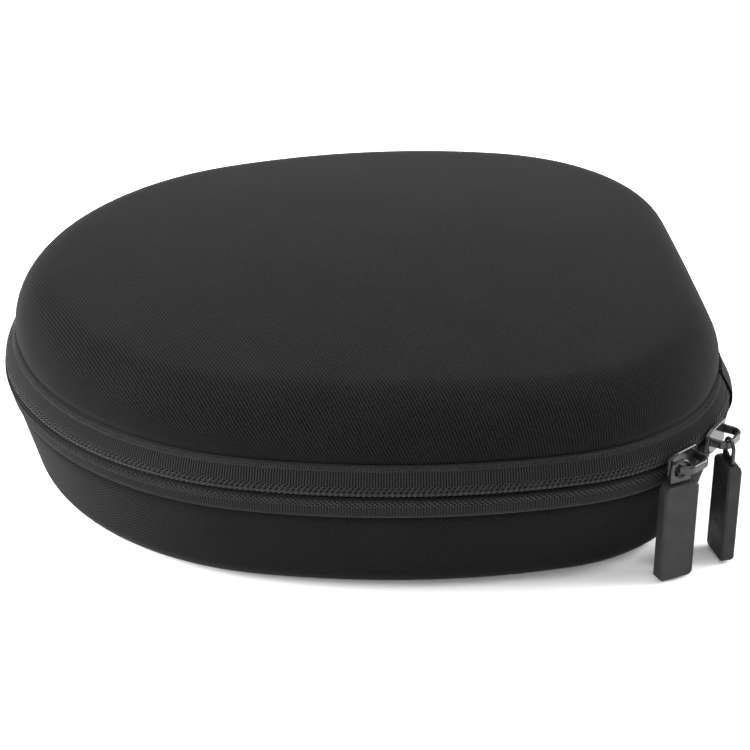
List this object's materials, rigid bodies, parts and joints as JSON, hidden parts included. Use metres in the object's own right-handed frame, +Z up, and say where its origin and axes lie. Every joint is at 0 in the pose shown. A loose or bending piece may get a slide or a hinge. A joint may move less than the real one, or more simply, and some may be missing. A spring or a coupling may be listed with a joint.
{
  "type": "headphone carrying case",
  "caption": "Moulded clamshell carrying case with a zipped lid, a cloth hinge along the flat side, a mesh pocket in the lid and hanging zip pulls.",
  "frame": {"origin": "middle of the footprint, on the surface that the case stands on", "axes": "+X along the length towards the cloth hinge, +Y across, +Z up"},
  "size_m": [0.2112, 0.1918, 0.0644],
  "materials": {
    "shell_cloth": "matt woven nylon bonded to foam board",
    "lining": "soft brushed knit",
    "binding": "woven tape",
    "zip_tape": "ribbed woven tape",
    "zip_coil": "nylon coil",
    "hinge_cloth": "matt woven nylon",
    "mesh": "open knit mesh",
    "elastic": "ribbed elastic",
    "slider_metal": "glossy black enamel",
    "pull_rubber": "matt moulded rubber"
  },
  "bodies": {
    "base": {"base_shell": "shell_cloth", "base_lining": "lining", "base_binding": "binding", "base_tape": "zip_tape", "base_coil": "zip_coil", "hinge_leaf_lower": "hinge_cloth", "hinge_lining_lower": "lining"},
    "lid": {"lid_shell": "shell_cloth", "lid_lining": "lining", "lid_binding": "binding", "lid_tape": "zip_tape", "lid_coil": "zip_coil", "hinge_leaf_upper": "hinge_cloth", "hinge_lining_upper": "lining", "mesh_pocket": "mesh", "pocket_elastic": "elastic"},
    "slider_1": {"slider_1": "slider_metal"},
    "tab_1": {"pull_eye_1": "slider_metal", "pull_tab_1": "pull_rubber"},
    "slider_2": {"slider_2": "slider_metal"},
    "tab_2": {"pull_eye_2": "slider_metal", "pull_tab_2": "pull_rubber"}
  },
  "joints": [
    {"name": "lid_hinge", "type": "hinge", "parent": "base", "child": "lid", "pos_m": [0.1056, 0, 0.034], "axis": [0, 1, 0], "range_deg": [0, 110]},
    {"name": "slider_1_travel", "type": "hinge", "parent": "base", "child": "slider_1", "pos_m": [0.0443, -0.0336, 0.034], "axis": [0, 0, 1], "range_deg": [-27, 0]},
    {"name": "slider_2_travel", "type": "hinge", "parent": "base", "child": "slider_2", "pos_m": [0.0443, -0.0336, 0.034], "axis": [0, 0, 1], "range_deg": [0, 4]},
    {"name": "tab_1_swing", "type": "hinge", "parent": "slider_1", "child": "tab_1", "pos_m": [0.08037, -0.08735, 0.0345], "axis": [-0.9336, -0.3584, 0], "range_deg": [0, 18]},
    {"name": "tab_2_swing", "type": "hinge", "parent": "slider_2", "child": "tab_2", "pos_m": [0.09618, -0.07697, 0.0345], "axis": [0.1736, -0.9848, 0], "range_deg": [0, 12]}
  ]
}
